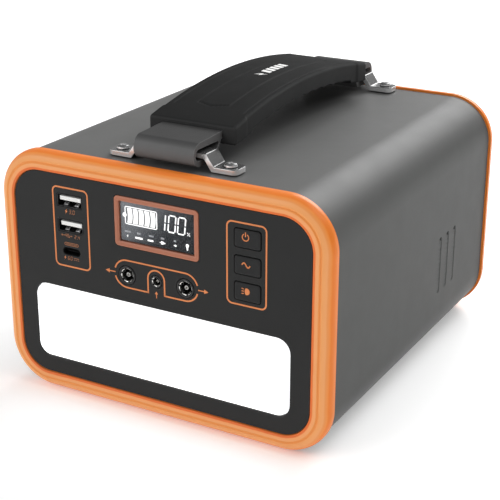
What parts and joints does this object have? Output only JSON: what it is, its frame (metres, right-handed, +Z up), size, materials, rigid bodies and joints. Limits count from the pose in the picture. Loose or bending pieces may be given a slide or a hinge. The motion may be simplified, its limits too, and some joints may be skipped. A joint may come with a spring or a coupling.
{
  "type": "portable power station",
  "caption": "Boxy portable power station with orange end frames, front lamp panel, display, sockets, push buttons and an arched carrying handle on a strap.",
  "frame": {"origin": "centre of the footprint at the underside of the feet", "axes": "+Y towards the rear, +Z up, +X to the right seen from the front"},
  "size_m": [0.166, 0.191, 0.1379],
  "materials": {
    "grey_shell": "grey satin coat",
    "orange_plastic": "satin orange",
    "charcoal_plastic": "fine matte",
    "diffuser": "frosted white",
    "white_plastic": "smooth white",
    "terracotta": "satin burnt orange",
    "clear_window": "clear",
    "socket_steel": "plated",
    "black_plastic": "fine matte",
    "nickel": "nickel plated",
    "circuit_board": "solder mask",
    "soft_rubber": "matte",
    "strap_rubber": "satin",
    "bright_steel": "bright plated",
    "cell_wrap": "sleeved cells",
    "holder_plastic": "moulded",
    "ferrite": "sintered",
    "aluminium": "extruded",
    "red_lead": "sleeved wire",
    "black_lead": "sleeved wire"
  },
  "bodies": {
    "body": {"shell": "grey_shell", "front_bezel": "orange_plastic", "rear_bezel": "orange_plastic", "foot_front_left": "soft_rubber", "foot_front_right": "soft_rubber", "foot_rear_left": "soft_rubber", "foot_rear_right": "soft_rubber", "front_panel": "charcoal_plastic", "lamp_diffuser": "diffuser", "lamp_reflector": "white_plastic", "led_board": "circuit_board", "display_bezel": "terracotta", "display_window": "clear_window", "lcd_module": "charcoal_plastic", "usb_a_upper_shell": "socket_steel", "usb_a_upper_tongue": "white_plastic", "usb_a_lower_shell": "socket_steel", "usb_a_lower_tongue": "white_plastic", "usb_c_shell": "socket_steel", "usb_c_tongue": "black_plastic", "dc_out_left_jack": "black_plastic", "dc_out_left_pin": "nickel", "dc_in_jack": "black_plastic", "dc_in_pin": "nickel", "dc_out_right_jack": "black_plastic", "dc_out_right_pin": "nickel", "io_board": "circuit_board", "button_board": "circuit_board", "handle_bracket_front": "bright_steel", "handle_bracket_rear": "bright_steel", "bracket_screw_front_left": "bright_steel", "bracket_screw_front_right": "bright_steel", "bracket_screw_rear_left": "bright_steel", "bracket_screw_rear_right": "bright_steel", "backing_plate_front": "nickel", "backing_plate_rear": "nickel", "rear_panel": "charcoal_plastic", "rear_screw_low_left": "bright_steel", "rear_screw_low_right": "bright_steel", "rear_screw_high_left": "bright_steel", "rear_screw_high_right": "bright_steel", "ac_outlet_left": "black_plastic", "ac_outlet_right": "black_plastic", "fan_frame": "black_plastic", "cell_pack": "cell_wrap", "cell_holder_low": "holder_plastic", "cell_holder_high": "holder_plastic", "chassis_tray": "holder_plastic", "bms_board": "circuit_board", "inverter_board": "circuit_board", "transformer": "ferrite", "heat_sink": "aluminium", "lead_red": "red_lead", "lead_black": "black_lead"},
    "power_cap": {"power_button": "charcoal_plastic"},
    "ac_cap": {"ac_button": "charcoal_plastic"},
    "lamp_cap": {"lamp_button": "charcoal_plastic"},
    "fan_spinner": {"fan_rotor": "black_plastic"},
    "handle": {"handle_grip": "soft_rubber", "handle_strap": "strap_rubber"}
  },
  "joints": [
    {"name": "power_press", "type": "slide", "parent": "body", "child": "power_cap", "axis": [0, 1, 0], "range_m": [0, 0.0008], "stiffness_N_per_m": 600, "springref_m": -0.002},
    {"name": "ac_press", "type": "slide", "parent": "body", "child": "ac_cap", "axis": [0, 1, 0], "range_m": [0, 0.0008], "stiffness_N_per_m": 600, "springref_m": -0.002},
    {"name": "lamp_press", "type": "slide", "parent": "body", "child": "lamp_cap", "axis": [0, 1, 0], "range_m": [0, 0.0008], "stiffness_N_per_m": 600, "springref_m": -0.002},
    {"name": "fan_spin", "type": "hinge", "parent": "body", "child": "fan_spinner", "pos_m": [0, 0.085, 0.078], "axis": [0, 1, 0], "continuous": true},
    {"name": "handle_lift", "type": "slide", "parent": "body", "child": "handle", "axis": [0, 0, 1], "range_m": [-0.0011, 0]}
  ]
}
